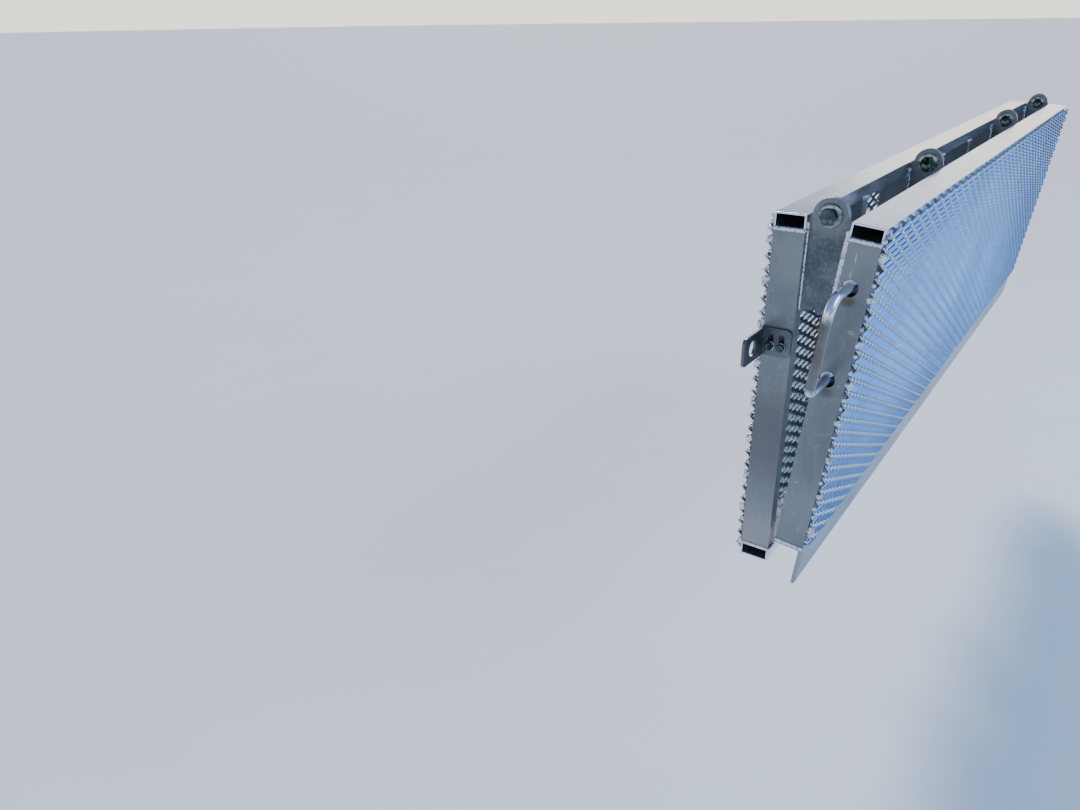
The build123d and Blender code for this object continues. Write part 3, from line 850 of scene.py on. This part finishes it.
def build_fasteners():
    """Bolts, washers and nuts of the fold hinges and of the lower hinges."""
    spots = []
    for index, offset in zip(FOLD_UPRIGHTS, PLATE_OFFSETS):
        plate = -HALF + index * PITCH + offset
        spots.append((plate - 0.0002 - HINGE_WASHER, plate + 2 * PLATE_THICK + PLATE_GAP))
    bolts, washers, nuts = hinge_fasteners(spots, FOLD_Y, FOLD_Z, FOLD_BOLT)
    give(bolts.piece("fold_hinge_bolts", MAT["bolt"]), "inner_panel", "zinc_fasteners", "fold_bolts")
    give(washers.piece("fold_hinge_washers", MAT["zinc"]), "inner_panel", "zinc_fasteners", "fold_washers")
    give(nuts.piece("fold_hinge_nuts", MAT["zinc"]), "inner_panel", "zinc_fasteners", "fold_nuts")

    spots = []
    for index in LUG_UPRIGHTS:
        lug = -HALF + index * PITCH + (FACE - LUG_THICK) / 2
        left = lug - LUG_GAP - LUG_THICK
        spots.append((left - HINGE_WASHER, lug + 2 * LUG_THICK + LUG_GAP))
    bolts, washers, nuts = hinge_fasteners(spots, 0, 0, LOWER_BOLT)
    give(bolts.piece("lower_hinge_bolts", MAT["zinc"]), "trailer_side", "zinc_fasteners", "lower_bolts")
    give(washers.piece("lower_hinge_washers", MAT["zinc"]), "trailer_side", "zinc_fasteners",
         "lower_washers")
    give(nuts.piece("lower_hinge_nuts", MAT["zinc"]), "trailer_side", "zinc_fasteners", "lower_nuts")


def build_latch_fasteners():
    """Bolts and washers in the slots of both latch brackets."""
    bolts, washers = Soup(), Soup()
    seat = BRACKET_FACE + LATCH_WASHER
    shank = HALF - 0.0138
    taper = (LATCH_SHANK - 0.0005, LATCH_SHANK)
    for y in BRACKET_BOLT_YS:
        for start in (BRACKET_FACE, -BRACKET_FACE - LATCH_WASHER):
            washer(washers, start, LATCH_WASHER, y, BRACKET_BOLT_Z, 0.017, 0.0085)
        hex_body(bolts, seat, seat + LATCH_HEAD, y, BRACKET_BOLT_Z, LATCH_ACROSS, (1,))
        hex_body(bolts, -seat - LATCH_HEAD, -seat, y, BRACKET_BOLT_Z, LATCH_ACROSS, (-1,), dish=0.0004)
        right = [(shank, taper[0]), (shank + 0.0006, taper[1]), (seat, taper[1])]
        left = [(-x, r) for x, r in reversed(right)]
        lathe_x(bolts, y, BRACKET_BOLT_Z, right, closed=False)
        lathe_x(bolts, y, BRACKET_BOLT_Z, left, closed=False)
    give(bolts.piece("latch_bolts", MAT["bolt"]), "inner_panel", "zinc_fasteners", "latch_bracket_bolts")
    give(washers.piece("latch_washers", MAT["zinc"]), "inner_panel", "zinc_fasteners",
         "latch_bracket_washers")


def bent_bar(soup, corners, bends, radius, sides=28, steps=12):
    """Round bar through square corners, with an arc of the given radius at each one between its ends."""
    corners = [Vector(corner) for corner in corners]
    path = [(corners[0], (corners[1] - corners[0]).normalized())]
    for before, corner, after, bend in zip(corners, corners[1:], corners[2:], bends):
        into = (corner - before).normalized()
        out = (after - corner).normalized()
        centre = corner - into * bend + out * bend
        for k in range(steps + 1):
            turn = math.pi / 2 * k / steps
            place = centre - out * bend * math.cos(turn) + into * bend * math.sin(turn)
            path.append((place, into * math.cos(turn) + out * math.sin(turn)))
    path.append((corners[-1], (corners[-1] - corners[-2]).normalized()))
    depth = Vector((0, 1, 0))
    rings = []
    for place, along in path:
        across = along.cross(depth)
        angles = [2 * math.pi * k / sides for k in range(sides)]
        rings.append([place + depth * radius * math.cos(a) + across * radius * math.sin(a) for a in angles])
    soup.rings(rings)


def build_handles():
    """Both grab handles, each with the weld over its legs where they enter the side rail."""
    y = OUTER_FRONT - HANDLE_DEPTH
    top, bottom = (OUTER_TOP - drop for drop in HANDLE_DROPS)
    for side, label in ((-1, "left"), (1, "right")):
        root = side * (HALF - FACE + WALL)
        bar_x = side * (HALF + HANDLE_REACH)
        bar = Soup()
        bent_bar(bar, [(root, y, top), (bar_x, y, top), (bar_x, y, bottom), (root, y, bottom)],
                 HANDLE_BENDS, HANDLE_RADIUS)
        give(bar.piece(f"handle_{label}_bar", MAT["handle"], 50, TO_OUTER), "outer_panel", "handle_bar",
             f"handle_{label}")
        ring = Soup()
        for z in (top, bottom):
            path = []
            for k in range(15):
                turn = math.radians(-20 + 165 * k / 14)
                reach = HANDLE_RADIUS + 0.0012
                path.append((side * (HALF - 0.0004), y + reach * math.cos(turn), z + reach * math.sin(turn)))
            bead(ring, path, 0.0021, lump=0.4)
        give(ring.piece(f"handle_{label}_welds", MAT["weld"], WELD_SMOOTH, TO_OUTER), "outer_panel",
             "handle_bar")


CAD_FINISH = [
    ("inner_top_rail", "inner_cross"), ("inner_bottom_rail", "inner_cross"),
    ("inner_side_rail", "inner_side"), ("inner_stile", "inner_upright"),
    ("outer_top_rail", "outer_cross"), ("outer_side_rail", "outer_side"),
    ("outer_stile", "outer_upright"), ("ground_lip", "lip"), ("lip_flange", "lip"),
    ("inner_hinge_plate", "plate"), ("outer_hinge_plate", "plate"),
    ("lower_lug", "steel"), ("hinge_clevis", "steel"),
    ("latch_bracket_inserts", "zinc"), ("latch_bracket", "bracket"),
]


def finish_cad():
    """Materials, merged flat faces and rounded edges for the CAD nodes that stay."""
    for name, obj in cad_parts.items():
        if obj.hide_render:
            continue
        key = next(mat for prefix, mat in CAD_FINISH if name.startswith(prefix))
        obj.material_slots[0].material = MAT[key]
        weld = obj.modifiers.new("weld", "WELD")
        weld.merge_threshold = 0.00002
        merge = obj.modifiers.new("flat_merge", "DECIMATE")
        merge.decimate_type = "DISSOLVE"
        merge.angle_limit = math.radians(0.5)
        bevel = obj.modifiers.new("bevel", "BEVEL")
        bevel.limit_method = "ANGLE"
        bevel.angle_limit = math.radians(40)
        bevel.width = TUBE_EDGE if "rail" in name or "stile" in name else PLATE_EDGE
        bevel.segments = 2
        flat = obj.modifiers.new("flat_faces", "WEIGHTED_NORMAL")
        flat.mode = "FACE_AREA"
        flat.weight = 100


def build_floor():
    """A plain pale floor under the ramp."""
    corners = [(-FLOOR_HALF, -FLOOR_HALF), (FLOOR_HALF, -FLOOR_HALF),
               (FLOOR_HALF, FLOOR_HALF), (-FLOOR_HALF, FLOOR_HALF)]
    g = Graph("studio_floor")
    tone = g.noise(g.mapped(), 3.0, 3.0, 0.5)
    g.put(g.shader.inputs["Base Color"], g.mix(tone, (0.78, 0.78, 0.77), (0.82, 0.82, 0.81)))
    g.shader.inputs["Roughness"].default_value = 0.9
    mesh = bpy.data.meshes.new("studio_floor")
    mesh.from_pydata([(x, y, FLOOR_Z) for x, y in corners], [], [(0, 1, 2, 3)])
    mesh.materials.append(g.mat)
    floor = bpy.data.objects.new("studio_floor", mesh)
    bpy.context.scene.collection.objects.link(floor)


def build_sky():
    """A pale horizon under a blue sky, bluer behind the ramp and with a lower horizon ahead of it."""
    world = bpy.data.worlds.new("studio")
    bpy.context.scene.world = world
    world.use_nodes = True
    tree = world.node_tree
    coords = tree.nodes.new("ShaderNodeTexCoord")
    split = tree.nodes.new("ShaderNodeSeparateXYZ")
    tree.links.new(coords.outputs["Generated"], split.inputs[0])

    def by_height(horizon_at, *stops):
        node = tree.nodes.new("ShaderNodeValToRGB")
        tree.links.new(split.outputs["Z"], node.inputs[0])
        low, high = node.color_ramp.elements
        low.position, low.color = horizon_at, (*HORIZON, 1)
        high.position, high.color = ZENITH_AT, (*ZENITH, 1)
        for place, colour in stops:
            node.color_ramp.elements.new(place).color = (*colour, 1)
        return node.outputs[0]

    def along_y(start, end):
        node = tree.nodes.new("ShaderNodeMapRange")
        node.interpolation_type = "SMOOTHSTEP"
        node.inputs["From Min"].default_value = start
        node.inputs["From Max"].default_value = end
        tree.links.new(split.outputs["Y"], node.inputs["Value"])
        return node.outputs[0]

    def mixed(share, a):
        node = tree.nodes.new("ShaderNodeMix")
        node.data_type = "RGBA"
        tree.links.new(share, node.inputs[0])
        tree.links.new(a, node.inputs[6])
        return node

    around = by_height(0.10, (0.15, (0.92, 0.88, 0.82)), (0.21, (0.58, 0.62, 0.70)),
                       (0.28, (0.36, 0.43, 0.56)), MIDDLE_SKY)
    ahead = by_height(0.11, (0.16, (0.34, 0.37, 0.43)), (0.2, (0.16, 0.20, 0.29)), MIDDLE_SKY)
    sky = mixed(along_y(0.22, 0.31), around)
    tree.links.new(ahead, sky.inputs[7])
    blend = mixed(along_y(-0.15, -0.40), sky.outputs[2])
    blend.inputs[7].default_value = (*REAR_BLUE, 1)
    back = tree.nodes["Background"]
    tree.links.new(blend.outputs[2], back.inputs["Color"])
    back.inputs["Strength"].default_value = SKY_STRENGTH


def build_lamps():
    """A broad warm sun and two bluish softboxes."""
    key = bpy.data.lights.new("key_light", "SUN")
    key.energy = 3.8
    key.angle = math.radians(14)
    key.color = (1.0, 0.955, 0.89)
    lamp = bpy.data.objects.new("key_light", key)
    lamp.rotation_euler = Vector((-0.66, -0.42, -0.62)).to_track_quat("-Z", "Y").to_euler()
    bpy.context.scene.collection.objects.link(lamp)

    def softbox(name, place, target, width, height, power, colour):
        data = bpy.data.lights.new(name, "AREA")
        data.shape = "RECTANGLE"
        data.size = width
        data.size_y = height
        data.energy = power
        data.color = colour
        lamp = bpy.data.objects.new(name, data)
        lamp.location = place
        lamp.rotation_euler = (Vector(target) - Vector(place)).to_track_quat("-Z", "Y").to_euler()
        bpy.context.scene.collection.objects.link(lamp)

    softbox("rear_softbox", (0.3, -4.0, 2.9), (0, 0, 0.4), 4.5, 2.4, 185, (0.42, 0.68, 1.0))
    softbox("side_softbox", (3.1, -1.5, 0.95), (0, -0.1, 0.4), 2.6, 0.7, 5, (0.60, 0.80, 1.0))


def build_camera():
    """The main view of the ramp, from behind its left end."""
    level = math.cos(CAMERA_PITCH)
    forward = Vector((math.sin(CAMERA_YAW) * level,
                      math.cos(CAMERA_YAW) * level,
                      -math.sin(CAMERA_PITCH)))
    flat = Vector((math.cos(CAMERA_YAW), -math.sin(CAMERA_YAW), 0))
    steep = flat.cross(forward)
    right = math.cos(CAMERA_ROLL) * flat + math.sin(CAMERA_ROLL) * steep
    up = math.cos(CAMERA_ROLL) * steep - math.sin(CAMERA_ROLL) * flat
    data = bpy.data.cameras.new("camera")
    data.sensor_width = SENSOR
    data.lens = LENS
    camera = bpy.data.objects.new("camera", data)
    turn = Matrix((right, up, -forward)).transposed().to_4x4()
    camera.matrix_world = Matrix.Translation(CAMERA_PLACE) @ turn
    bpy.context.scene.collection.objects.link(camera)
    bpy.context.scene.camera = camera


build_meshes()
build_welds()
build_fasteners()
build_latch_fasteners()
build_handles()
finish_cad()
build_floor()
build_sky()
build_lamps()
build_camera()
